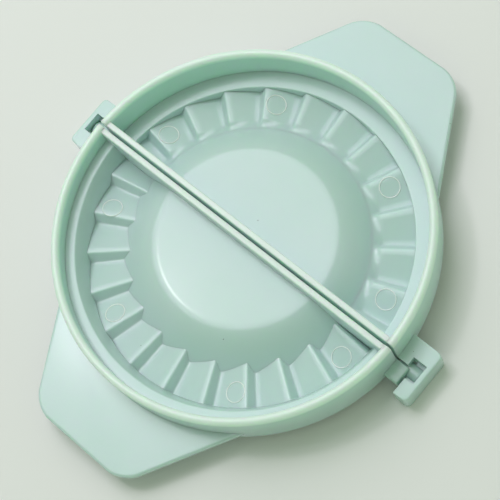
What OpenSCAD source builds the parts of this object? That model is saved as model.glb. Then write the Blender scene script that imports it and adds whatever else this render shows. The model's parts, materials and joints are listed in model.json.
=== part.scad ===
// Empanada press: two moulded halves joined by a snap hinge, lying open with
// their working faces down. Origin: middle of the hinge line at table level.
// +X runs along the hinge, +Y towards half A's handle, +Z up.

/* [Press ring] */
// Outer radius of the cutting ring
ring_r = 54.5; // [50:0.5:62]
// Height of the ring's top edge above the table
ring_top = 19; // [17:0.5:24]
// Thickness of the ring wall
ring_wall = 2.4; // [2:0.1:3]

/* [Shell] */
// Thickness of dome, pleats and ledges
shell_t = 1.8; // [1.2:0.1:2.2]
// Width of the dome's flank, seen from above
flank_w = 12.5; // [8:0.1:14]
// Height of the flat top of the dome above the table
dome_top = 12.3; // [10:0.1:14]
// Height at which the dome's flank runs out
dome_foot = 4.5; // [4.4:0.1:5.2]

/* [Pleats] */
// Number of pleats round one half
pleats = 12; // [8:1:14]
// Length of a pleat, from the dome's foot to the ledge
pleat_len = 10.2; // [9:0.2:13]
// Half the height of a pleat's step at its outer end
pleat_step = 1.7; // [1:0.1:1.9]
// Thickness of the steep wall of a pleat
pleat_wall = 1; // [0.8:0.1:1.6]
// Angle by which half A's pleats are turned back, and half B's on
pleat_turn = 2.7; // [0:0.1:3.2]
// Room between the pleats of the closed halves
dough_gap = 0.8; // [0.6:0.1:1.2]

/* [Ledges] */
// Width of half A's ledge, from the pleats to the ring
ledge_w = 4.9; // [4.4:0.1:6]
// Height of half A's ledge above the table
ledge_a_top = 7.8; // [7.7:0.1:9]
// Height of half B's ledge above the table
ledge_b_top = 12.5; // [11:0.1:14]
// How far the wall up to half B's ledge leans out
ledge_b_lean = 2; // [1.6:0.1:2.6]

/* [Edge bars] */
// Thickness of the bar along each half's straight edge
bar_t = 1.7; // [1.2:0.1:2.2]
// Height of the bars above the table
bar_top = 18.2; // [15:0.1:19]
// Gap between the bars of the open halves
bar_gap = 0.8; // [0.6:0.1:1.2]

/* [Handles] */
// Length of a handle, from the ring to its end
handle_len = 18.9; // [14:0.1:30]
// Width of a handle at its end, measured between its square corners
handle_end_w = 34; // [26:0.2:40]
// Lean of a handle's sides
handle_lean = 29.6; // [20:0.2:32]
// Radius of a handle's corners
handle_corner_r = 9.5; // [4:0.5:11]
// Thickness of a handle plate
handle_t = 2.2; // [1.8:0.1:3]
// Height of a handle's underside above its half's working face
handle_rise = 2.4; // [0:0.1:4]

/* [Hinge] */
// Height of the hinge axis above the table
axis_h = 3.5; // [3.5:0.1:3.8]
// Radius of a peg
peg_r = 2.3; // [1.8:0.05:2.4]
// Running clearance round a peg
peg_clear = 0.1; // [0.05:0.05:0.2]
// Gap between the working faces of the closed halves
closing_gap = 0.3; // [0.2:0.05:0.4]
// Distance from the ring to a peg arm's end
arm_len = 4.1; // [3.6:0.1:11]
// Width of a peg arm
arm_w = 5.5; // [4.5:0.1:7]
// Height of a peg arm's top above the table
arm_top = 7.2; // [6.4:0.1:8]
// Length of a peg beyond its arm
peg_len = 3.5; // [3:0.1:6]
// End gap between an arm and the hook round its peg
hook_gap = 0.3; // [0.2:0.1:0.6]
// Thickness of a hook's end wall
hook_end_t = 1.5; // [1.4:0.1:3]
// Half the width of a hook
hook_half_w = 8; // [6:0.2:9]
// Height of a hook's top above the table
hook_top = 8; // [7.4:0.1:9]
// Half the width of the window over a peg
window_half_w = 3; // [2.8:0.1:3.6]
// How far a hook's free finger stays back from the arm beside it
finger_set_back = 0.7; // [0:0.1:1.2]
// How far a hook's bore wraps above the axis
hook_wrap = 1.2; // [0.6:0.1:1.6]

/* [Hidden] */
$fn = 96;
mint = [0.72, 0.85, 0.80];
face_z = axis_h + closing_gap / 2;          // working face of each half
ring_in_r = ring_r - ring_wall;
pleat_r = ring_in_r - ledge_w;
dome_foot_r = pleat_r - pleat_len;
dome_top_r = dome_foot_r - flank_w;         // radius of the dome's flat top
ledge_b_r = pleat_r + ledge_b_lean;         // inner radius of half B's ledge
handle_reach = ring_r + handle_len;
handle_root = 0.7;                          // hidden root's y, as a share of ring_r
arm_end = ring_r + arm_len;
shell_y = bar_gap / 2 + bar_t;              // shells start behind the bar
pleat_pitch = 180 / pleats;
pleat_mid = axis_h + shell_t + dough_gap / 2;
pleat_tilt = atan(pleat_step / (pleat_r * tan(pleat_pitch / 2)));
pleat_shift = dough_gap / 2;                // steps of the closed halves pass
pleat_plan_r = dome_foot_r / 2;             // where a pleat's plan starts
pleat_run_on = 1;                           // overlap of neighbouring cuts
far = 200;                                  // past everything, for cutters
over = 1;                                   // how far a cut runs past its face
flank_steps = 14;
bore_r = peg_r + peg_clear;
peg_root_gap = 0.7;                         // peg's inner end off the ring
root_gap = 0.4;                             // more room where an arm swings by
hook_in = arm_end + hook_gap;               // inner face of a hook
peg_end = arm_end + peg_len;
hook_pocket_end = peg_end + hook_gap;
hook_end = hook_pocket_end + hook_end_t;
peg_root = ring_r + peg_root_gap;
root_clear_r = bore_r + root_gap;

// Point on the dome's flank at s from 0 (flat top) to 1 (foot), sunk by t
// square to the surface.
function flank(s, t) =
    let (
        run = dome_foot_r - dome_top_r,
        drop = dome_top - dome_foot,
        slope = atan(90 * PI / 180 * drop * sin(90 * s) / run)
    )
    [
        dome_top_r + run * s - t * sin(slope),
        dome_top - drop * (1 - cos(90 * s)) - t * cos(slope)
    ];

// Outline of everything under the dome's surface sunk by t, down to z = floor_z.
function dome_outline(t, floor_z) = concat(
    [[0, dome_top - t]],
    [for (i = [0 : flank_steps]) flank(i / flank_steps, t)],
    [[dome_foot_r, floor_z], [0, floor_z]]
);

module dome_body(t, floor_z) {
    rotate_extrude() polygon(dome_outline(t, floor_z));
}

// Keeps what lies at y or more.
module behind(y) {
    intersection() {
        children();
        translate([-far, y, -far]) cube([2 * far, far, 2 * far]);
    }
}

// Turns a piece drawn for half A half a turn, into half B.
module as_half_b() {
    rotate([0, 0, 180]) children();
}

module dome() {
    behind(shell_y) difference() {
        dome_body(0, face_z);
        dome_body(shell_t, face_z - shell_t);
    }
}

// Wedge of the plan about +X, with its edges moved on past a pleat's own by
// lead and trail.
module pleat_plan(lead, trail) {
    a = pleat_pitch / 2;
    linear_extrude(height = far, center = true) polygon([
        pleat_plan_r * [cos(a), -sin(a)] + lead * [sin(a), cos(a)],
        far / 2 * [cos(a), -sin(a)] + lead * [sin(a), cos(a)],
        far / 2 * [cos(a), sin(a)] + trail * [-sin(a), cos(a)],
        pleat_plan_r * [cos(a), sin(a)] + trail * [-sin(a), cos(a)]
    ]);
}

// All that lies from z_low to z_high, counted from a pleat's sloping top.
module pleat_layer(z_low, z_high) {
    translate([0, 0, pleat_mid]) rotate([pleat_tilt, 0, 0])
        translate([0, -far / 4, z_low]) cube([far / 2, far / 2, z_high - z_low]);
}

// Air over a pleat. It runs on over its high edge, into the next one's.
module over_pleat() {
    step_face = pleat_shift + pleat_wall;
    intersection() {
        pleat_plan(step_face, step_face + pleat_run_on);
        pleat_layer(0, far / 4);
    }
}

// Air under a pleat. It starts early, in what lies under the pleat before.
module under_pleat() {
    intersection() {
        pleat_plan(pleat_shift - pleat_run_on, pleat_shift);
        pleat_layer(-far / 4, -shell_t);
    }
}

// Pleats turned by turn from the middle of their pitch.
module pleat_ring(turn) {
    low = pleat_mid - shell_t - 2 * pleat_step;
    high = pleat_mid + 2 * pleat_step;
    difference() {
        behind(shell_y) translate([0, 0, low]) cylinder(r = pleat_r, h = high - low);
        dome_body(0, low - over);
        for (i = [0 : pleats]) rotate([0, 0, i * pleat_pitch + turn]) {
            over_pleat();
            under_pleat();
        }
    }
}

module ledge_a() {
    behind(shell_y) rotate_extrude() polygon([
        [pleat_r, face_z],
        [pleat_r, ledge_a_top],
        [ring_in_r, ledge_a_top],
        [ring_in_r, ledge_a_top - shell_t],
        [pleat_r + shell_t, ledge_a_top - shell_t],
        [pleat_r + shell_t, face_z]
    ]);
}

module ledge_b() {
    knee = pleat_mid + pleat_step;
    behind(shell_y) rotate_extrude() polygon([
        [pleat_r, face_z],
        [pleat_r, knee],
        [ledge_b_r, ledge_b_top],
        [ring_in_r, ledge_b_top],
        [ring_in_r, ledge_b_top - shell_t],
        [ledge_b_r + shell_t, ledge_b_top - shell_t],
        [pleat_r + shell_t, knee],
        [pleat_r + shell_t, face_z]
    ]);
}

module ring() {
    bead_r = ring_wall / 2;
    behind(bar_gap / 2) union() {
        difference() {
            translate([0, 0, face_z])
                cylinder(r = ring_r, h = ring_top - bead_r - face_z);
            cylinder(r = ring_in_r, h = far);
        }
        rotate_extrude()
            translate([ring_r - bead_r, ring_top - bead_r]) circle(r = bead_r, $fn = 32);
    }
}

module edge_bar() {
    intersection() {
        difference() {
            translate([-far / 2, bar_gap / 2, face_z])
                cube([far, bar_t, bar_top - face_z]);
            dome_body(shell_t, -over);
        }
        cylinder(r = ring_in_r, h = far);
    }
}

module handle() {
    corner_y = handle_reach - handle_corner_r;
    corner_x = handle_end_w / 2
        - handle_corner_r * (1 - sin(handle_lean)) / cos(handle_lean);
    side_x = corner_x + handle_corner_r * cos(handle_lean);
    side_y = corner_y + handle_corner_r * sin(handle_lean);
    root_y = ring_r * handle_root;
    root_x = side_x + (side_y - root_y) * tan(handle_lean);
    translate([0, 0, face_z + handle_rise]) difference() {
        union() {
            linear_extrude(height = handle_t) polygon([
                [root_x, root_y], [side_x, side_y],
                [corner_x, handle_reach], [-corner_x, handle_reach],
                [-side_x, side_y], [-root_x, root_y]
            ]);
            for (x = [-corner_x, corner_x])
                translate([x, corner_y, 0]) cylinder(r = handle_corner_r, h = handle_t);
        }
        translate([0, 0, -over]) cylinder(r = ring_r, h = handle_t + 2 * over);
    }
}

// A bar of round section along the hinge axis, from x0 to x1.
module axis_rod(r, x0, x1) {
    translate([x0, 0, axis_h]) rotate([0, 90, 0]) cylinder(r = r, h = x1 - x0);
}

module hinge_arm() {
    difference() {
        translate([-arm_end, 0, face_z])
            cube([arm_end - ring_in_r, arm_w, arm_top - face_z]);
        cylinder(r = ring_r, h = far);
        axis_rod(peg_r, -arm_end - over, -peg_root);
    }
}

module hinge_peg() {
    axis_rod(peg_r, -peg_end, -peg_root);
}

module hinge_hook() {
    root_y = bar_gap / 2;
    difference() {
        union() {
            translate([ring_in_r, root_y, face_z])
                cube([hook_in - ring_in_r, hook_half_w - root_y, hook_top - face_z]);
            translate([hook_in, -hook_half_w, 0])
                cube([hook_end - hook_in, 2 * hook_half_w, hook_top]);
        }
        translate([0, 0, -over]) cylinder(r = ring_r, h = far);
        axis_rod(root_clear_r, ring_in_r, hook_in);
        axis_rod(bore_r, hook_in - over, hook_pocket_end);
        translate([hook_in - over, -window_half_w, axis_h + hook_wrap])
            cube([hook_pocket_end - hook_in + over, 2 * window_half_w, far]);
        translate([hook_in - over, -hook_half_w - over, -over])
            cube([finger_set_back + over, hook_half_w + over - window_half_w, far]);
    }
}

module a_dome() { color(mint) dome(); }
module a_pleat_ring() { color(mint) pleat_ring(-pleat_turn); }
module a_ledge() { color(mint) ledge_a(); }
module a_ring() { color(mint) ring(); }
module a_edge_bar() { color(mint) edge_bar(); }
module a_handle() { color(mint) handle(); }
module a_hinge_arm() { color(mint) hinge_arm(); }
module a_hinge_peg() { color(mint) hinge_peg(); }
module a_hinge_hook() { color(mint) hinge_hook(); }
module b_dome() { color(mint) as_half_b() dome(); }
module b_pleat_ring() { color(mint) as_half_b() pleat_ring(pleat_turn); }
module b_ledge() { color(mint) as_half_b() ledge_b(); }
module b_ring() { color(mint) as_half_b() ring(); }
module b_edge_bar() { color(mint) as_half_b() edge_bar(); }
module b_handle() { color(mint) as_half_b() handle(); }
module b_hinge_arm() { color(mint) as_half_b() hinge_arm(); }
module b_hinge_peg() { color(mint) as_half_b() hinge_peg(); }
module b_hinge_hook() { color(mint) as_half_b() hinge_hook(); }

a_dome();
a_pleat_ring();
a_ledge();
a_ring();
a_edge_bar();
a_handle();
a_hinge_arm();
a_hinge_peg();
a_hinge_hook();
b_dome();
b_pleat_ring();
b_ledge();
b_ring();
b_edge_bar();
b_handle();
b_hinge_arm();
b_hinge_peg();
b_hinge_hook();
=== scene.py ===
"""Looks of the empanada press: its moulded halves, their finish, and a plain studio.

The press lies open, working faces down. +X runs along the hinge, +Y towards half A's
handle. Every piece is modelled for half A, and half B's copy is turned half a turn.
"""
import json
import math

import bpy
from mathutils import Matrix, Vector


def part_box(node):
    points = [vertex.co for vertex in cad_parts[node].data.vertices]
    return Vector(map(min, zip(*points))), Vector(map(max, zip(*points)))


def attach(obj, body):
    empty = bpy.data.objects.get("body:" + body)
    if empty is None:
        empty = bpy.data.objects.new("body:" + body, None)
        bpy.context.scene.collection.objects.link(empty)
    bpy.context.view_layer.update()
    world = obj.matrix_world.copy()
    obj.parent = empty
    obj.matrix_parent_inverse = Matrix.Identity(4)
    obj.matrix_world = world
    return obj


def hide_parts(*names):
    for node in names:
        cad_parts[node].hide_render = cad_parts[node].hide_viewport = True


bl_info = {
    "name": "Empanada Press",
    "version": (1, 0, 0),
    "blender": (4, 5, 0),
    "location": "3D View > Sidebar > Empanada Press",
    "description": "Builds the visible pieces of an open empanada press",
    "category": "Add Mesh",
}

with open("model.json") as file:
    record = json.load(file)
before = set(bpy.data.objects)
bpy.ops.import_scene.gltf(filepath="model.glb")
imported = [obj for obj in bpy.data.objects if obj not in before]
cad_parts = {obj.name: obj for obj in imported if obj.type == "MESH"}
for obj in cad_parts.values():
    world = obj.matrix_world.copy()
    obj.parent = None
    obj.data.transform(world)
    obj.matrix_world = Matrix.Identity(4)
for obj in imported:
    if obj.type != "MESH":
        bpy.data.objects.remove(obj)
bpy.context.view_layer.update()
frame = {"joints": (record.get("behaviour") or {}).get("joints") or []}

MM = 0.001
CENTRE = Vector((0, 0, 0))
SPIN_AXIS = Vector((0, 0, -1))               # a spin without a window turns clockwise about it
HALF_TURN = math.pi
AXIS_Z = frame["joints"][0]["pos_m"][2]       # height of the hinge line
BODIES = {"a": "half_a", "b": "half_b"}
WELD = 0.002 * MM                            # points nearer than this become one
NEAR = 0.05 * MM                             # a vertex this near to a place is the one there
SHELL_STEPS = 120                            # steps round half a turn, for domes and ledges
RING_STEPS = 160                             # the same for the cutting rings
CUTTER_SIDES = 192                           # sides of a whole round cutter


# ---------------------------------------------------------------- sizes and colours

def length(name, description, millimetres):
    """A length property, whose default is given in millimetres."""
    return bpy.props.FloatProperty(
        name=name, description=description, default=millimetres * MM, unit="LENGTH", precision=4)


def angle(name, description, degrees):
    """An angle property, whose default is given in degrees."""
    return bpy.props.FloatProperty(
        name=name, description=description, default=math.radians(degrees), subtype="ANGLE")


def colour(name, description, rgb):
    """A colour property, in linear red, green and blue."""
    return bpy.props.FloatVectorProperty(
        name=name, description=description, default=rgb, subtype="COLOR", size=3, min=0, max=1)


class PressSizes(bpy.types.PropertyGroup):
    """Sizes of the moulded halves."""

    ring_r: length("Ring radius", "Outer radius of the cutting ring", 54.5)
    ring_wall: length("Ring wall", "Thickness of the cutting ring", 2.4)
    shell_t: length("Shell thickness", "Thickness of dome, pleats and ledges", 1.8)
    dome_top_r: length("Dome top radius", "Radius of the dome's flat top", 24.5)
    dome_foot_r: length("Dome foot radius", "Radius where the dome's flank runs out", 37)
    dome_foot_z: length("Dome foot height", "Height where the dome's flank runs out", 4.5)
    pleat_r: length("Pleat radius", "Outer radius of the pleats", 47.2)
    pleat_mid: length("Pleat height", "Height of a pleat's middle line", 5.7)
    pleat_step: length("Pleat step", "Half the height of a step at its outer end", 1.7)
    step_run: length("Step run", "Width of a step, seen from above, at its outer end", 1.9)
    ridge_round: length("Ridge rounding", "Rounding of a pleat's ridge", 0.6)
    fade_r: length("Fade radius", "Radius at which half A's pleats have faded out", 35)
    fade_w: length("Fade width", "Width over which half A's pleats fade out", 3.2)
    foot_r: length(
        "Dome rounding start", "Radius where half A's pleats start to rise to its dome", 37.15)
    foot_round: length("Dome rounding", "Radius of the rounding between half A's pleats and dome", 3)
    ledge_round: length("Ledge rounding", "Rounding of a ledge's inner edge", 0.35)
    ledge_lean: length("Ledge lean", "How far the wall up to half B's ledge leans out", 2)
    joint_overlap: length("Joint overlap", "How far neighbouring walls run into each other", 0.4)
    bar_t: length("Bar thickness", "Thickness of a straight edge bar", 1.7)
    bar_round: length("Bar rounding", "Rounding of a bar's top edges", 0.3)
    handle_end_w: length("Handle width", "Width of a handle between its square corners", 34)
    handle_corner_r: length("Handle corner radius", "Radius of a handle's corners", 9.5)
    handle_round: length("Handle rounding", "Rounding of a handle's rim", 0.8)
    hinge_round: length("Hinge rounding", "Rounding of the hinge pieces' edges", 0.4)
    hook_corner_r: length("Hook corner radius", "Radius of a hook's outer corners, from above", 1.4)
    pleat_root: length("Pleat root", "How far outside the dome's flat top half B's pleats begin", 6)
    ring_foot: length("Ring foot", "Bevel along the lower rim of a cutting ring", 0.3)
    seam: length("Seam", "How far half A's pleats run into its dome", 0.05)
    outer_gap: length("Pleat end gap", "Hairline between the pleats and the wall round them", 0.02)
    close_gap: length("Closing gap", "Least gap between the halves' pleats when closed", 0.05)
    peg_clear: length("Peg clearance", "Running clearance round a peg", 0.1)
    root_clear: length("Root clearance", "More room where an arm swings past a hook's root", 0.4)
    hook_gap: length("Hook end gap", "Gap between an arm or a peg and the hook round it", 0.3)
    hook_window: length("Hook window", "Half the width of the window over a peg", 3)
    hook_wrap: length("Hook wrap", "How far a hook's bore wraps above the axis", 1.2)
    finger_set_back: length("Finger set-back", "How far a hook's finger stays back from an arm", 0.7)
    mark_r: length("Ejector mark radius", "Radius of the ring that an ejector pin left", 2.9)
    mark_at_r: length("Ejector mark place", "Distance of an ejector mark from the middle", 42.6)
    mark_line: length("Ejector mark line", "Half the width of an ejector mark's raised line", 0.18)
    handle_lean: angle("Handle lean", "Lean of a handle's sides", 29.6)
    pleat_turn_a: angle("Pleat turn A", "How far half A's pleats are turned on", -1.7)
    pleat_turn_b: angle("Pleat turn B", "How far half B's pleats are turned on", 4.3)
    pleats: bpy.props.IntProperty(
        name="Pleats", description="Number of pleats round one half", default=12, min=8, max=14)


class PressFinish(bpy.types.PropertyGroup):
    """Colours of the plastic and of the studio."""

    mint: colour("Mint", "Colour of the plastic", (0.60, 0.72, 0.74))
    mint_deep: colour("Deep mint", "Colour where the plastic is a little denser", (0.53, 0.695, 0.67))
    # painted highlight: the ejector marks' raised lines are painted in this paler colour, as if they
    # caught the light all round
    mint_highlight: colour("Bright mint", "Colour of thin raised lines", (0.88, 0.96, 0.94))
    # painted highlight: the tops of the cutting rings and straight bars are painted in this paler
    # colour, where light falls on them
    mint_rim_highlight: colour("Rim mint", "Colour of a thin wall's rim", (0.76, 0.93, 0.84))
    speck: colour("Speck", "Colour of the tiny dark specks in the plastic", (0.10, 0.14, 0.12))
    glow: colour("Glow", "Tint of the light inside the plastic", (0.55, 1.0, 0.6))
    floor: colour("Floor", "Colour of the studio floor", (0.86, 0.83, 0.85))


def sizes():
    return bpy.context.scene.press_sizes


def finish():
    return bpy.context.scene.press_finish


# ---------------------------------------------------------------- modelling helpers

def clear_selection():
    if bpy.context.object and bpy.context.object.mode != "OBJECT":
        bpy.ops.object.mode_set(mode="OBJECT")
    bpy.ops.object.select_all(action="DESELECT")


def edit(piece, mode="VERT"):
    """Open a piece in edit mode with nothing selected."""
    clear_selection()
    piece.select_set(True)
    bpy.context.view_layer.objects.active = piece
    bpy.ops.object.mode_set(mode="EDIT")
    bpy.ops.mesh.select_mode(type=mode)
    bpy.ops.mesh.select_all(action="DESELECT")


def pick(piece, kind, test):
    """Select only those vertices, edges or faces of the open piece that pass the test."""
    bpy.ops.mesh.select_all(action="DESELECT")
    bpy.ops.object.mode_set(mode="OBJECT")
    for element in getattr(piece.data, kind):
        element.select = test(element)
    bpy.ops.object.mode_set(mode="EDIT")


def edge_end(piece, edge):
    """The end of an edge that lies nearer to -X."""
    return min((piece.data.vertices[v].co for v in edge.vertices), key=lambda spot: spot.x)


def is_upright(piece, edge):
    here, there = (piece.data.vertices[v].co for v in edge.vertices)
    return abs(here.z - there.z) > MM


def close_edit():
    bpy.ops.mesh.select_all(action="SELECT")
    bpy.ops.mesh.remove_doubles(threshold=WELD)
    bpy.ops.mesh.normals_make_consistent(inside=False)
    bpy.ops.object.mode_set(mode="OBJECT")


def settle(piece):
    """Put the piece's place into its mesh, so that its object sits at the origin."""
    clear_selection()
    piece.select_set(True)
    bpy.context.view_layer.objects.active = piece
    bpy.ops.object.transform_apply(location=True, rotation=True, scale=True)


def draw_outline(name, points, closed=True):
    """Draw a line of edges from point to point by extruding one vertex."""
    points = [Vector(point) for point in points]
    clear_selection()
    bpy.ops.mesh.primitive_plane_add(size=MM, location=points[0])
    piece = bpy.context.object
    piece.name = piece.data.name = name
    bpy.ops.object.mode_set(mode="EDIT")
    bpy.ops.mesh.merge(type="CENTER")
    for here, there in zip(points, points[1:]):
        bpy.ops.mesh.extrude_vertices_move(TRANSFORM_OT_translate={"value": there - here})
    bpy.ops.mesh.select_all(action="SELECT")
    if closed:
        bpy.ops.mesh.edge_face_add()
    bpy.ops.object.mode_set(mode="OBJECT")
    settle(piece)
    return piece


def spin_round(piece, turn, steps):
    """Spin the whole outline about the vertical axis and close the doubles."""
    edit(piece)
    bpy.ops.mesh.select_all(action="SELECT")
    bpy.ops.mesh.spin(steps=steps, angle=turn, center=CENTRE, axis=SPIN_AXIS)
    close_edit()


def cut_flat(piece, place, facing):
    """Keep what lies past a plane, with a flat face there."""
    edit(piece)
    bpy.ops.mesh.select_all(action="SELECT")
    bpy.ops.mesh.bisect(plane_co=place, plane_no=facing, clear_inner=True, use_fill=True)
    close_edit()


def cut_straight(piece, y):
    """Keep what lies past y, where the straight edge of a half is."""
    cut_flat(piece, (0, y, 0), (0, 1, 0))


def add_modifier(piece, kind, **settings):
    """Add a modifier and apply it."""
    clear_selection()
    piece.select_set(True)
    bpy.context.view_layer.objects.active = piece
    bpy.ops.object.modifier_add(type=kind)
    modifier = piece.modifiers[-1]
    for key, value in settings.items():
        setattr(modifier, key, value)
    bpy.ops.object.modifier_apply(modifier=modifier.name)


def round_edges(piece, width, sharper_than=35, segments=3):
    """Round every edge that is sharper than an angle in degrees."""
    add_modifier(piece, "BEVEL", width=width, segments=segments, limit_method="ANGLE",
                 angle_limit=math.radians(sharper_than), miter_outer="MITER_ARC",
                 use_clamp_overlap=True, harden_normals=False)


def combine(piece, other, operation):
    """Cut, join or intersect the piece with another, which is used up."""
    add_modifier(piece, "BOOLEAN", object=other, operation=operation, solver="EXACT")
    bpy.data.objects.remove(other)


def add_cylinder(radius, low, high, sides=CUTTER_SIDES):
    """An upright cylinder about the origin, as a cutter."""
    clear_selection()
    bpy.ops.mesh.primitive_cylinder_add(
        vertices=sides, radius=radius, depth=high - low, location=(0, 0, (low + high) / 2))
    cutter = bpy.context.object
    settle(cutter)
    return cutter


def add_rod(radius, x0, x1, z, sides=64):
    """A cylinder along X, from x0 to x1 at height z."""
    clear_selection()
    bpy.ops.mesh.primitive_cylinder_add(
        vertices=sides, radius=radius, depth=x1 - x0, location=((x0 + x1) / 2, 0, z),
        rotation=(0, HALF_TURN / 2, 0))
    rod = bpy.context.object
    settle(rod)
    return rod


def add_block(low, high):
    """A box between two corners."""
    low, high = Vector(low), Vector(high)
    clear_selection()
    bpy.ops.mesh.primitive_cube_add(size=1, location=(low + high) / 2)
    block = bpy.context.object
    bpy.ops.transform.resize(value=high - low)
    settle(block)
    return block


def smooth(piece, crease=38):
    """Shade smoothly, with creases past an angle in degrees."""
    clear_selection()
    piece.select_set(True)
    bpy.context.view_layer.objects.active = piece
    bpy.ops.object.shade_smooth_by_angle(angle=math.radians(crease))


def turn_about_z(piece, turn):
    clear_selection()
    piece.select_set(True)
    bpy.context.view_layer.objects.active = piece
    piece.matrix_world = Matrix.Rotation(turn, 4, "Z") @ piece.matrix_world
    bpy.context.view_layer.update()
    settle(piece)


def finish_piece(piece, half, name, material, replaced=()):
    """Name, turn, shade and dress a finished piece, and hand it to its half."""
    piece.name = piece.data.name = f"{half}_{name}"
    if half == "b":
        turn_about_z(piece, HALF_TURN)
    smooth(piece)
    piece.data.materials.clear()
    piece.data.materials.append(material)
    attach(piece, BODIES[half])
    if replaced:
        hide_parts(*[f"{half}_{node}" for node in replaced])


def node_box(node, half="a"):
    """A node's corners, as half A's frame has them."""
    low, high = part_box(f"{half}_{node}")
    if half == "b":
        low, high = Vector((-high.x, -high.y, low.z)), Vector((-low.x, -low.y, high.z))
    return low, high


# ---------------------------------------------------------------- materials

def new_group(name, inputs, outputs):
    """A shader node group with float or colour sockets, given as (name, kind, default)."""
    group = bpy.data.node_groups.new(name, "ShaderNodeTree")
    for socket_name, kind, default in inputs:
        socket = group.interface.new_socket(name=socket_name, in_out="INPUT", socket_type=kind)
        if default is not None:
            socket.default_value = default
    for socket_name, kind in outputs:
        group.interface.new_socket(name=socket_name, in_out="OUTPUT", socket_type=kind)
    return group, group.nodes.new("NodeGroupInput"), group.nodes.new("NodeGroupOutput")


def add_noise(tree, vector, scale, detail=3.0, roughness=0.5):
    noise = tree.nodes.new("ShaderNodeTexNoise")
    noise.inputs["Scale"].default_value = scale
    noise.inputs["Detail"].default_value = detail
    noise.inputs["Roughness"].default_value = roughness
    tree.links.new(vector, noise.inputs["Vector"])
    return noise


def add_range(tree, value, low, high, to_low=0.0, to_high=1.0):
    """Stretch a value from one range to another, clamped."""
    node = tree.nodes.new("ShaderNodeMapRange")
    limits = {"From Min": low, "From Max": high, "To Min": to_low, "To Max": to_high}
    for name, number in limits.items():
        node.inputs[name].default_value = number
    tree.links.new(value, node.inputs["Value"])
    return node.outputs["Result"]


def add_mix(tree, factor, first, second):
    """Mix two colours, each a socket or a fixed colour."""
    mix = tree.nodes.new("ShaderNodeMix")
    mix.data_type = "RGBA"
    tree.links.new(factor, mix.inputs[0])
    for socket, source in ((mix.inputs[6], first), (mix.inputs[7], second)):
        if isinstance(source, bpy.types.NodeSocket):
            tree.links.new(source, socket)
        else:
            socket.default_value = (*source, 1)
    return mix.outputs[2]


def flow_group():
    """Soft clouds of denser and thinner plastic, as the melt flowed."""
    group, start, end = new_group(
        "melt_flow", [("Vector", "NodeSocketVector", None)], [("Mask", "NodeSocketFloat")])
    clouds_per_m, streaks_per_m, streak_share = 28, 170, 0.15
    thinnest, densest = 0.25, 0.9
    clouds = add_noise(group, start.outputs["Vector"], clouds_per_m, detail=2)
    fine = add_noise(group, start.outputs["Vector"], streaks_per_m, detail=3)
    sum_node = group.nodes.new("ShaderNodeMath")
    sum_node.operation = "MULTIPLY_ADD"
    sum_node.inputs[1].default_value = streak_share
    group.links.new(fine.outputs["Fac"], sum_node.inputs[0])
    group.links.new(clouds.outputs["Fac"], sum_node.inputs[2])
    mask = add_range(group, sum_node.outputs[0], thinnest, densest)
    group.links.new(mask, end.inputs["Mask"])
    return group


def speck_group():
    """A few tiny specks: most cells of the pattern hold none."""
    cells_per_m, share_without = 210, 0.93
    group, start, end = new_group(
        "dark_specks",
        [("Vector", "NodeSocketVector", None), ("Size", "NodeSocketFloat", 0.05)],
        [("Mask", "NodeSocketFloat")])
    cells = group.nodes.new("ShaderNodeTexVoronoi")
    cells.inputs["Scale"].default_value = cells_per_m
    group.links.new(start.outputs["Vector"], cells.inputs["Vector"])
    near = group.nodes.new("ShaderNodeMath")
    near.operation = "LESS_THAN"
    group.links.new(cells.outputs["Distance"], near.inputs[0])
    group.links.new(start.outputs["Size"], near.inputs[1])
    split = group.nodes.new("ShaderNodeSeparateColor")
    group.links.new(cells.outputs["Color"], split.inputs["Color"])
    rare = group.nodes.new("ShaderNodeMath")
    rare.operation = "GREATER_THAN"
    rare.inputs[1].default_value = share_without
    group.links.new(split.outputs["Red"], rare.inputs[0])
    both = group.nodes.new("ShaderNodeMath")
    both.operation = "MULTIPLY"
    group.links.new(near.outputs[0], both.inputs[0])
    group.links.new(rare.outputs[0], both.inputs[1])
    group.links.new(both.outputs[0], end.inputs["Mask"])
    return group


def grain_group():
    """The tool's fine surface: a bump height of faint grain and slow sink marks."""
    group, start, end = new_group(
        "mould_grain",
        [("Vector", "NodeSocketVector", None), ("Grain", "NodeSocketFloat", 0.5)],
        [("Height", "NodeSocketFloat")])
    grains_per_m, waves_per_m = 2600, 70
    grain = add_noise(group, start.outputs["Vector"], grains_per_m, detail=2)
    waves = add_noise(group, start.outputs["Vector"], waves_per_m, detail=1)
    blend = group.nodes.new("ShaderNodeMix")
    group.links.new(start.outputs["Grain"], blend.inputs[0])
    group.links.new(waves.outputs["Fac"], blend.inputs[2])
    group.links.new(grain.outputs["Fac"], blend.inputs[3])
    group.links.new(blend.outputs[0], end.inputs["Height"])
    return group


GROUP_MAKERS = {"melt_flow": flow_group, "dark_specks": speck_group, "mould_grain": grain_group}


def place_group(tree, name, vector, **values):
    """Place a shared effect in a material, with its own values."""
    node = tree.nodes.new("ShaderNodeGroup")
    node.node_tree = bpy.data.node_groups.get(name) or GROUP_MAKERS[name]()
    tree.links.new(vector, node.inputs["Vector"])
    for socket, value in values.items():
        node.inputs[socket].default_value = value
    return node.outputs[0]


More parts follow.
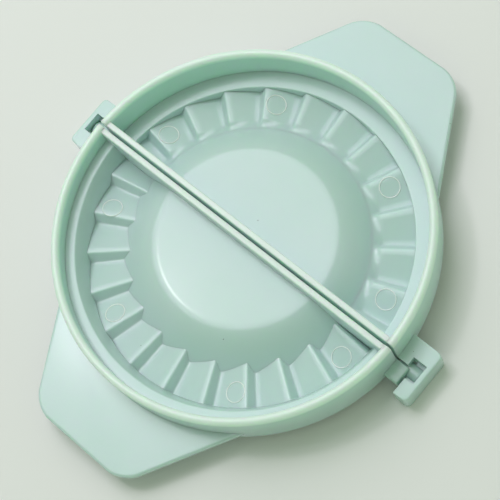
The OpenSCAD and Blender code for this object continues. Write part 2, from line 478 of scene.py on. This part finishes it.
def mint_plastic(name, rough, grain, speck_size, glow=0.4, reach=2 * MM,
                 colours=("mint", "mint_deep"), rim=None):
    """Satin polypropylene. rough is its roughness range, glow how much light goes inside, reach
    how far it goes there, and rim the heights between which a painted highlight turns the plastic pale."""
    material = bpy.data.materials.get(name)
    if material:
        return material
    look = finish()
    material = bpy.data.materials.new(name)
    material.use_nodes = True
    tree = material.node_tree
    shader = tree.nodes["Principled BSDF"]
    place = tree.nodes.new("ShaderNodeTexCoord").outputs["Object"]
    flow = place_group(tree, "melt_flow", place)
    specks = place_group(tree, "dark_specks", place, Size=speck_size)
    base = add_mix(tree, flow, *(tuple(getattr(look, shade)) for shade in colours))
    # painted highlight: from the lower rim height up, the colour turns to the rim colour, for light
    # falling on the wall's top
    if rim:
        split = tree.nodes.new("ShaderNodeSeparateXYZ")
        tree.links.new(place, split.inputs[0])
        base = add_mix(tree, add_range(tree, split.outputs["Z"], *rim), base, tuple(look.mint_rim_highlight))
    tree.links.new(add_mix(tree, specks, base, tuple(look.speck)), shader.inputs["Base Color"])
    tree.links.new(add_range(tree, flow, 0, 1, *rough), shader.inputs["Roughness"])
    bump = tree.nodes.new("ShaderNodeBump")
    bump.inputs["Strength"].default_value = 0.12
    bump.inputs["Distance"].default_value = 0.1 * MM
    tree.links.new(place_group(tree, "mould_grain", place, Grain=grain), bump.inputs["Height"])
    tree.links.new(bump.outputs["Normal"], shader.inputs["Normal"])
    shader.inputs["IOR"].default_value = 1.49
    shader.inputs["Subsurface Weight"].default_value = glow
    shader.inputs["Subsurface Radius"].default_value = tuple(look.glow)
    shader.inputs["Subsurface Scale"].default_value = reach
    return material


def polished_mint():
    return mint_plastic("polished_mint", rough=(0.17, 0.23), grain=0.15, speck_size=0.035)


def glowing_mint():
    """The same plastic where it is a thin wall that light shines through, with a painted highlight that
    turns it pale along its rim.
    """
    top = node_box("ring")[1].z
    # painted highlight from one wall thickness below the top, full from a third of it below the top
    return mint_plastic("glowing_mint", rough=(0.3, 0.38), grain=0.15, speck_size=0.035, glow=0.8,
                        reach=5 * MM, rim=(top - sizes().ring_wall, top - sizes().ring_wall / 3))


def satin_mint():
    return mint_plastic("satin_mint", rough=(0.22, 0.28), grain=0.5, speck_size=0.03)


# painted highlight: the ejector marks are painted paler than the pleats, as if lit all round
def bright_mint():
    return mint_plastic("bright_mint", rough=(0.2, 0.25), grain=0.15, speck_size=0, glow=0.2,
                        colours=("mint_highlight", "mint_highlight"))


# ---------------------------------------------------------------- the dome

def dome_top_z():
    return node_box("dome")[1].z


def flank_point(s, sunk):
    """Point on the flank at s, from 0 at the flat top to 1 at the foot, sunk square to it."""
    size = sizes()
    run = size.dome_foot_r - size.dome_top_r
    drop = dome_top_z() - size.dome_foot_z
    turn = HALF_TURN / 2 * s
    slope = math.atan(HALF_TURN / 2 * drop * math.sin(turn) / run)
    return Vector((size.dome_top_r + run * s - sunk * math.sin(slope), 0,
                   dome_top_z() - drop * (1 - math.cos(turn)) - sunk * math.cos(slope)))


def dome_line(sunk, steps=24):
    """The dome's profile from its middle to its foot, sunk square to its surface."""
    flank = [flank_point(i / steps, sunk) for i in range(steps + 1)]
    return [Vector((0, 0, dome_top_z() - sunk))] + flank


def dome_core(sunk, low):
    """All that lies under the dome's surface, as a cutter."""
    outline = dome_line(sunk)
    foot = outline[-1]
    outline += [Vector((foot.x, 0, low)), Vector((0, 0, low))]
    core = draw_outline("dome_core", outline, closed=False)
    spin_round(core, 2 * HALF_TURN, CUTTER_SIDES)
    return core


def foot_lift(radius):
    """How far half A's rounding up into its dome rises above the pleats' middle height."""
    size = sizes()
    return max(0, size.foot_r - radius) ** 2 / (2 * size.foot_round)


def dome_solid(half, foot_steps=5):
    """A half's dome. Half A's includes the rounding at its foot, to where its pleats have faded out."""
    size = sizes()
    low = node_box("dome")[0]
    outer = dome_line(0)
    inner = dome_line(size.shell_t)
    foot = [Vector((size.dome_foot_r, 0, inner[-1].z))]
    if half == "a":
        start_r = size.foot_r - size.foot_round
        radii = [start_r + (size.fade_r - start_r) * i / foot_steps for i in range(foot_steps + 1)]
        foot = [Vector((radius, 0, size.pleat_mid + foot_lift(radius))) for radius in radii]
        outer = [point for point in outer if point.x < start_r]
        inner = [point for point in inner if point.x < start_r]
        foot.append(Vector((size.fade_r, 0, inner[-1].z)))
    dome = draw_outline("dome", outer + foot + inner[::-1])
    spin_round(dome, HALF_TURN, SHELL_STEPS)
    cut_flat(dome, low, (0, 0, 1))
    cut_straight(dome, low.y)
    return dome


def build_dome(half):
    finish_piece(dome_solid(half), half, "dome_shell", polished_mint(), ["dome"])


# ---------------------------------------------------------------- the pleats

def pleat_layout(half):
    """Pitch, angle of a step, and angle from +X at which the first sloping top starts."""
    size = sizes()
    pitch = HALF_TURN / size.pleats
    step_turn = size.step_run / size.pleat_r
    turn = size.pleat_turn_a if half == "a" else size.pleat_turn_b
    return pitch, step_turn, turn - pitch / 2 + step_turn / 2


def tread_point(half, radius, around, rise):
    """Point on a sloping top; rise goes from -1 at its low edge to 1 at its ridge.

    Half A's pleats fade out and round up into the dome, half B's run into it at their full height.
    """
    size = sizes()
    step = size.pleat_step * radius / size.pleat_r
    lift = 0
    if half == "a":
        share = (radius - size.fade_r) / size.fade_w
        share = min(max(share, 0), 1)
        step *= share * share * (3 - 2 * share)          # eased at both ends
        lift = foot_lift(radius)
    return Vector((radius * math.cos(around), radius * math.sin(around),
                   size.pleat_mid + lift + rise * step))


def pleat_surface(half):
    """Top of all pleats as one sheet: one pleat is drawn, spun, stepped and copied round."""
    size = sizes()
    pitch, step_turn, first = pleat_layout(half)
    start_r = size.fade_r - size.seam if half == "a" else size.dome_top_r + size.pleat_root
    end_r = size.pleat_r - size.outer_gap
    fade_rows, outer_rows, tread_steps = 6, 3, 5
    fade_end = size.fade_r + size.fade_w
    radii = [start_r] + [size.fade_r + size.fade_w * i / fade_rows for i in range(fade_rows + 1)]
    radii += [fade_end + (end_r - fade_end) * (i + 1) / outer_rows for i in range(outer_rows)]
    line = [tread_point(half, radius, first, 0) for radius in radii]
    sheet = draw_outline("pleats", line, closed=False)
    edit(sheet)
    bpy.ops.mesh.select_all(action="SELECT")
    bpy.ops.mesh.spin(steps=tread_steps, angle=pitch - step_turn, center=CENTRE, axis=SPIN_AXIS)
    bpy.ops.mesh.spin(steps=1, angle=step_turn, center=CENTRE, axis=SPIN_AXIS)
    shares = [j / tread_steps for j in range(tread_steps + 1)]
    columns = [(first + (pitch - step_turn) * share, 2 * share - 1) for share in shares]
    columns.append((first + pitch, -1))
    for around, rise in columns:
        for radius in radii:
            spot = tread_point(half, radius, around, 0)
            pick(sheet, "vertices", lambda v, spot=spot: (v.co - spot).length < NEAR)
            lift = tread_point(half, radius, around, rise) - spot
            bpy.ops.transform.translate(value=lift)
    bpy.ops.mesh.select_all(action="SELECT")
    bpy.ops.mesh.spin(steps=size.pleats, angle=HALF_TURN, center=CENTRE, axis=SPIN_AXIS, dupli=True)
    close_edit()
    return sheet


def pleat_solid(half):
    size = sizes()
    sheet = pleat_surface(half)
    round_edges(sheet, size.ridge_round, sharper_than=25)
    edit(sheet)
    bpy.ops.mesh.select_all(action="SELECT")
    bpy.ops.mesh.extrude_region_move(TRANSFORM_OT_translate={"value": (0, 0, -size.shell_t)})
    close_edit()
    cut_straight(sheet, node_box("pleat_ring")[0].y)
    if half == "b":
        combine(sheet, dome_core(size.joint_overlap, -size.shell_t), "DIFFERENCE")
    return sheet


def fold_over(piece):
    """Turn a piece of half B, drawn in half A's frame, to where it lies when the press is closed.

    It is lifted and spread by the closing gap, so that what it cuts leaves room for the real piece.
    """
    size = sizes()
    clear_selection()
    piece.select_set(True)
    spread = 1 + size.close_gap / size.dome_foot_r
    lift = Matrix.Translation((0, 0, 2 * AXIS_Z + size.close_gap))
    turn = Matrix.Rotation(HALF_TURN, 4, "Y")
    piece.matrix_world = lift @ turn @ Matrix.Diagonal((spread, spread, 1, 1)) @ piece.matrix_world
    bpy.context.view_layer.update()
    settle(piece)
    return piece


def build_pleats(half):
    """Half A's pleats leave room for half B's, which run on to its dome at their full height."""
    pleats = pleat_solid(half)
    if half == "a":
        for solid in (pleat_solid("b"), dome_solid("b")):
            combine(pleats, fold_over(solid), "DIFFERENCE")
    finish_piece(pleats, half, "pleats", polished_mint(), ["pleat_ring"])


MARK_ANGLES = {"a": (15, 60, 120, 165), "b": (22, 65.5, 126, 168)}    # degrees from +X


def build_marks(half):
    """Thin raised circles that the ejector pins left on the pleats; their paler colour is a painted
    highlight.
    """
    size = sizes()
    pitch, step_turn, first = pleat_layout(half)
    tread_turn = pitch - step_turn
    circles = []
    for degrees in MARK_ANGLES[half]:
        around = math.radians(degrees)
        share = (around - first) % pitch / tread_turn
        middle = tread_point(half, size.mark_at_r, around, 2 * share - 1)
        outward = tread_point(half, size.mark_at_r + MM, around, 2 * share - 1) - middle
        ridge = tread_point(half, size.mark_at_r, around + (1 - share) * tread_turn, 1)
        upright = outward.cross(ridge - middle)
        clear_selection()
        bpy.ops.mesh.primitive_torus_add(major_radius=size.mark_r, minor_radius=size.mark_line,
                                         major_segments=64, minor_segments=10)
        circle = bpy.context.object
        tilt = Vector((0, 0, 1)).rotation_difference(upright)
        circle.matrix_world = Matrix.Translation(middle) @ tilt.to_matrix().to_4x4()
        bpy.context.view_layer.update()
        circles.append(circle)
    clear_selection()
    for circle in circles:
        circle.select_set(True)
    bpy.context.view_layer.objects.active = circles[0]
    bpy.ops.object.join()
    marks = bpy.context.object
    settle(marks)
    finish_piece(marks, half, "ejector_marks", bright_mint())


# ---------------------------------------------------------------- ledges and cutting ring

def build_ledge(half):
    size = sizes()
    low, high = node_box("ledge", half)
    ring_in = size.ring_r - size.ring_wall
    root = ring_in + size.joint_overlap
    t = size.shell_t
    outer = [(size.pleat_r, low.z)]
    inner = [(size.pleat_r + t, low.z)]
    lean_r = size.pleat_r
    if half == "b":
        knee_z = size.pleat_mid + size.pleat_step
        outer.append((size.pleat_r, knee_z))
        inner.append((size.pleat_r + t, knee_z))
        lean_r += size.ledge_lean
    outer += [(lean_r, high.z), (root, high.z)]
    inner += [(lean_r + t, high.z - t), (root, high.z - t)]
    ledge = draw_outline("ledge", [Vector((r, 0, z)) for r, z in outer + inner[::-1]])
    edit(ledge)
    below_z = high.z - 1.5 * t                     # just below both faces of the flat
    pick(ledge, "vertices", lambda v: v.co.z > below_z and v.co.x < ring_in)
    bpy.ops.mesh.bevel(offset=size.ledge_round, segments=4, affect="VERTICES")
    close_edit()
    spin_round(ledge, HALF_TURN, SHELL_STEPS)
    cut_straight(ledge, low.y)
    finish_piece(ledge, half, "ledge_wall", polished_mint(), ["ledge"])


def build_ring(half):
    size = sizes()
    low, high = node_box("ring")
    bead = size.ring_wall / 2
    middle = size.ring_r - bead
    bead_steps = 12
    arc = [Vector((middle + bead * math.cos(a), 0, high.z - bead + bead * math.sin(a)))
           for a in (HALF_TURN * i / bead_steps for i in range(bead_steps + 1))]
    foot = size.ring_foot
    outline = [Vector((size.ring_r - foot, 0, low.z)), Vector((size.ring_r, 0, low.z + foot))] + arc
    outline.append(Vector((size.ring_r - size.ring_wall, 0, low.z)))
    ring = draw_outline("ring", outline)
    spin_round(ring, HALF_TURN, RING_STEPS)
    cut_straight(ring, low.y)
    finish_piece(ring, half, "cutting_ring", glowing_mint(), ["ring"])


def build_bar(half):
    size = sizes()
    low, high = node_box("edge_bar")
    ring_in = size.ring_r - size.ring_wall
    bar = add_block((-ring_in - MM, low.y, low.z), (ring_in + MM, high.y, high.z))
    edit(bar, "EDGE")
    pick(bar, "edges", lambda e: all(bar.data.vertices[v].co.z > high.z - MM for v in e.vertices))
    bpy.ops.mesh.bevel(offset=size.bar_round, segments=4)
    close_edit()
    combine(bar, dome_core(size.shell_t - size.joint_overlap / 2, -MM), "DIFFERENCE")
    combine(bar, add_cylinder(ring_in + size.joint_overlap, 0, 2 * high.z), "INTERSECT")
    finish_piece(bar, half, "straight_bar", glowing_mint(), ["edge_bar"])


# ---------------------------------------------------------------- handles

def build_handle(half):
    size = sizes()
    low, high = node_box("handle")
    lean = math.tan(size.handle_lean)
    end_x = size.handle_end_w / 2
    root_y = low.y - MM
    root_x = end_x + (high.y - root_y) * lean
    corners = [(root_x, root_y), (end_x, high.y), (-end_x, high.y), (-root_x, root_y)]
    plate = draw_outline("handle", [Vector((x, y, low.z)) for x, y in corners])
    edit(plate)
    pick(plate, "vertices", lambda v: v.co.y > high.y - MM)
    bend = math.tan((HALF_TURN / 2 - size.handle_lean) / 2)
    bpy.ops.mesh.bevel(offset=size.handle_corner_r * bend, segments=16, affect="VERTICES")
    bpy.ops.mesh.select_all(action="SELECT")
    bpy.ops.mesh.extrude_region_move(TRANSFORM_OT_translate={"value": (0, 0, high.z - low.z)})
    close_edit()
    round_edges(plate, size.handle_round, segments=4)
    combine(plate, add_cylinder(size.ring_r - size.joint_overlap, -MM, 2 * high.z), "DIFFERENCE")
    finish_piece(plate, half, "handle_plate", satin_mint(), ["handle"])


# ---------------------------------------------------------------- snap hinge

def build_arm(half):
    size = sizes()
    low, high = node_box("hinge_arm")
    arm = add_block((low.x, low.y, low.z), (-size.ring_r + MM, high.y, high.z))
    round_edges(arm, size.hinge_round)
    combine(arm, add_cylinder(size.ring_r - MM, -MM, 2 * high.z), "DIFFERENCE")
    finish_piece(arm, half, "peg_arm", satin_mint(), ["hinge_arm"])


def build_peg(half):
    size = sizes()
    low, high = node_box("hinge_peg")
    peg = add_rod((high.z - low.z) / 2, low.x, high.x, AXIS_Z)
    edit(peg, "EDGE")
    pick(peg, "edges", lambda e: all(peg.data.vertices[v].co.x < low.x + MM for v in e.vertices))
    bpy.ops.mesh.bevel(offset=2 * size.hinge_round, segments=5)
    close_edit()
    finish_piece(peg, half, "snap_peg", satin_mint(), ["hinge_peg"])


def build_hook(half):
    size = sizes()
    low, high = node_box("hinge_hook")
    arm_low, peg_low = node_box("hinge_arm")[0], node_box("hinge_peg")[0]
    past, up = MM, 2 * high.z                     # how far cutters run on
    pocket_in, pocket_end = -arm_low.x + size.hook_gap, -peg_low.x + size.hook_gap
    bore_r = AXIS_Z - peg_low.z + size.peg_clear
    root_y = node_box("ring")[0].y
    window = size.hook_window
    hook = add_block((pocket_in, low.y, low.z), (high.x, high.y, high.z))
    edit(hook, "EDGE")
    pick(hook, "edges", lambda e: is_upright(hook, e) and edge_end(hook, e).x > high.x - MM)
    bpy.ops.mesh.bevel(offset=size.hook_corner_r, segments=6)
    pick(hook, "edges", lambda e: not is_upright(hook, e) and edge_end(hook, e).x > pocket_in + MM)
    bpy.ops.mesh.bevel(offset=size.hinge_round, segments=3)
    close_edit()
    combine(hook, add_block((size.ring_r - 2 * past, root_y, arm_low.z),
                            (pocket_in + past, high.y, high.z)), "UNION")
    cutters = [
        add_cylinder(size.ring_r - size.joint_overlap, -past, up),
        add_rod(bore_r + size.root_clear, 0, pocket_in, AXIS_Z),
        add_rod(bore_r, pocket_in - past, pocket_end, AXIS_Z),
        add_block((pocket_in - past, -window, AXIS_Z + size.hook_wrap), (pocket_end, window, up)),
        add_block((pocket_in - past, 2 * low.y, -past),
                  (pocket_in + size.finger_set_back, -window, up)),
    ]
    for cutter in cutters:
        combine(hook, cutter, "DIFFERENCE")
    finish_piece(hook, half, "snap_hook", satin_mint(), ["hinge_hook"])


# ---------------------------------------------------------------- operators

class BothHalves:
    """Runs one piece's builder for half A and for half B."""

    def execute(self, context):
        for half in BODIES:
            type(self).build(half)
        return {"FINISHED"}


class PRESS_OT_domes(BothHalves, bpy.types.Operator):
    """Model the filling domes"""

    bl_idname = "press.domes"
    bl_label = "Domes"
    build = staticmethod(build_dome)


class PRESS_OT_pleats(BothHalves, bpy.types.Operator):
    """Model the rings of crimping pleats"""

    bl_idname = "press.pleats"
    bl_label = "Pleats"
    build = staticmethod(build_pleats)


class PRESS_OT_marks(BothHalves, bpy.types.Operator):
    """Model the circles that the ejector pins left on the pleats"""

    bl_idname = "press.marks"
    bl_label = "Ejector marks"
    build = staticmethod(build_marks)


class PRESS_OT_ledges(BothHalves, bpy.types.Operator):
    """Model the ledges between pleats and cutting rings"""

    bl_idname = "press.ledges"
    bl_label = "Ledges"
    build = staticmethod(build_ledge)


class PRESS_OT_rings(BothHalves, bpy.types.Operator):
    """Model the cutting rings with their round beads"""

    bl_idname = "press.rings"
    bl_label = "Cutting rings"
    build = staticmethod(build_ring)


class PRESS_OT_bars(BothHalves, bpy.types.Operator):
    """Model the bars along the straight edges"""

    bl_idname = "press.bars"
    bl_label = "Straight bars"
    build = staticmethod(build_bar)


class PRESS_OT_handles(BothHalves, bpy.types.Operator):
    """Model the handle plates"""

    bl_idname = "press.handles"
    bl_label = "Handles"
    build = staticmethod(build_handle)


class PRESS_OT_arms(BothHalves, bpy.types.Operator):
    """Model the arms that carry the pegs"""

    bl_idname = "press.arms"
    bl_label = "Peg arms"
    build = staticmethod(build_arm)


class PRESS_OT_pegs(BothHalves, bpy.types.Operator):
    """Model the pegs that the halves turn on"""

    bl_idname = "press.pegs"
    bl_label = "Pegs"
    build = staticmethod(build_peg)


class PRESS_OT_hooks(BothHalves, bpy.types.Operator):
    """Model the hooks that snap over the pegs"""

    bl_idname = "press.hooks"
    bl_label = "Hooks"
    build = staticmethod(build_hook)


# ---------------------------------------------------------------- studio

def add_lamp(name, place, size, power, tint=(1, 1, 1), glossy=True):
    """A round soft lamp that faces the press. One that isn't glossy leaves no reflection."""
    data = bpy.data.lights.new(name, "AREA")
    data.shape = "DISK"
    data.size, data.energy, data.color = size, power, tint
    lamp = bpy.data.objects.new(name, data)
    lamp.visible_glossy = glossy
    bpy.context.scene.collection.objects.link(lamp)
    lamp.location = place
    lamp.rotation_euler = (CENTRE - Vector(place)).to_track_quat("-Z", "Y").to_euler()
    return lamp


def floor_material():
    material = bpy.data.materials.new("studio_floor")
    material.use_nodes = True
    tree = material.node_tree
    shader = tree.nodes["Principled BSDF"]
    place = tree.nodes.new("ShaderNodeTexCoord").outputs["Object"]
    clouds_per_m, dimmer = 6, 0.985
    tone = add_noise(tree, place, clouds_per_m, detail=2).outputs["Fac"]
    floor = tuple(finish().floor)
    dim = tuple(channel * dimmer for channel in floor)
    tree.links.new(add_mix(tree, tone, floor, dim), shader.inputs["Base Color"])
    shader.inputs["Roughness"].default_value = 0.75
    return material


def add_camera():
    """The photograph's view: angles are those of the line from target to camera."""
    around, height, roll = math.radians(-16.09), math.radians(68.14), math.radians(-34.91)
    distance, focal_px, image_px, sensor = 454.6 * MM, 1616.5, 500, 36.0
    target = Vector((1.34, -1.09, 6.01)) * MM
    back = Vector((math.cos(height) * math.cos(around), math.cos(height) * math.sin(around),
                   math.sin(height)))
    side = Vector((-math.sin(around), math.cos(around), 0))
    rise = back.cross(side)
    right = side * math.cos(roll) + rise * math.sin(roll)
    up = rise * math.cos(roll) - side * math.sin(roll)
    data = bpy.data.cameras.new("photo_camera")
    data.sensor_width = sensor
    data.lens = focal_px * sensor / image_px
    data.clip_start = 0.01
    camera = bpy.data.objects.new("photo_camera", data)
    bpy.context.scene.collection.objects.link(camera)
    camera.matrix_world = Matrix.Translation(target + back * distance) @ Matrix(
        (right, up, back)).transposed().to_4x4()
    bpy.context.scene.camera = camera


class PRESS_OT_studio(bpy.types.Operator):
    """Set up the floor, the lamps and the camera"""

    bl_idname = "press.studio"
    bl_label = "Studio"

    def execute(self, context):
        clear_selection()
        floor_size = 3
        bpy.ops.mesh.primitive_plane_add(size=floor_size)
        floor = context.object
        floor.name = floor.data.name = "studio_floor"
        floor.data.materials.append(floor_material())
        scene = context.scene
        scene.view_settings.view_transform = "Standard"
        scene.world = scene.world or bpy.data.worlds.new("studio")
        scene.world.use_nodes = True
        sky = scene.world.node_tree.nodes["Background"]
        sky.inputs["Color"].default_value = (0.78, 1.0, 0.72, 1)
        sky.inputs["Strength"].default_value = 0.46
        add_lamp("sky_panel", place=(-0.43, 0.12, 1.12), size=0.6, power=4.2,
                 tint=(0.96, 0.94, 1.0), glossy=False)
        sheen = add_lamp("sheen_panel", place=(-0.36, 0.10, 0.93), size=1.2, power=12.5,
                         tint=(0.90, 0.82, 1.0))
        sheen.visible_diffuse = False              # only its reflection is wanted
        add_lamp("key_window", place=(-0.64, 0.34, 0.69), size=0.6, power=1.4,
                 tint=(0.97, 0.92, 1.0), glossy=False)
        add_lamp("arc_window", place=(-0.42, -0.08, 0.90), size=0.11, power=0.8)
        add_camera()
        return {"FINISHED"}


PIECE_OPERATORS = (PRESS_OT_domes, PRESS_OT_pleats, PRESS_OT_marks, PRESS_OT_ledges, PRESS_OT_rings,
                   PRESS_OT_bars, PRESS_OT_handles, PRESS_OT_arms, PRESS_OT_pegs, PRESS_OT_hooks)


class PRESS_PT_sidebar(bpy.types.Panel):
    """Sizes, colours and builders of the press"""

    bl_label = "Empanada Press"
    bl_idname = "PRESS_PT_sidebar"
    bl_space_type = "VIEW_3D"
    bl_region_type = "UI"
    bl_category = "Empanada Press"

    def draw(self, context):
        for settings in (context.scene.press_sizes, context.scene.press_finish):
            for name in settings.__annotations__:
                self.layout.prop(settings, name)
        for operator in (*PIECE_OPERATORS, PRESS_OT_studio):
            self.layout.operator(operator.bl_idname)


CLASSES = (PressSizes, PressFinish, *PIECE_OPERATORS, PRESS_OT_studio, PRESS_PT_sidebar)


def register():
    for item in CLASSES:
        bpy.utils.register_class(item)
    bpy.types.Scene.press_sizes = bpy.props.PointerProperty(type=PressSizes)
    bpy.types.Scene.press_finish = bpy.props.PointerProperty(type=PressFinish)


def unregister():
    del bpy.types.Scene.press_sizes
    del bpy.types.Scene.press_finish
    for item in reversed(CLASSES):
        bpy.utils.unregister_class(item)


def main():
    register()
    for operator in (*PIECE_OPERATORS, PRESS_OT_studio):
        getattr(bpy.ops.press, operator.bl_idname.split(".")[1])()


if __name__ == "__main__":
    main()
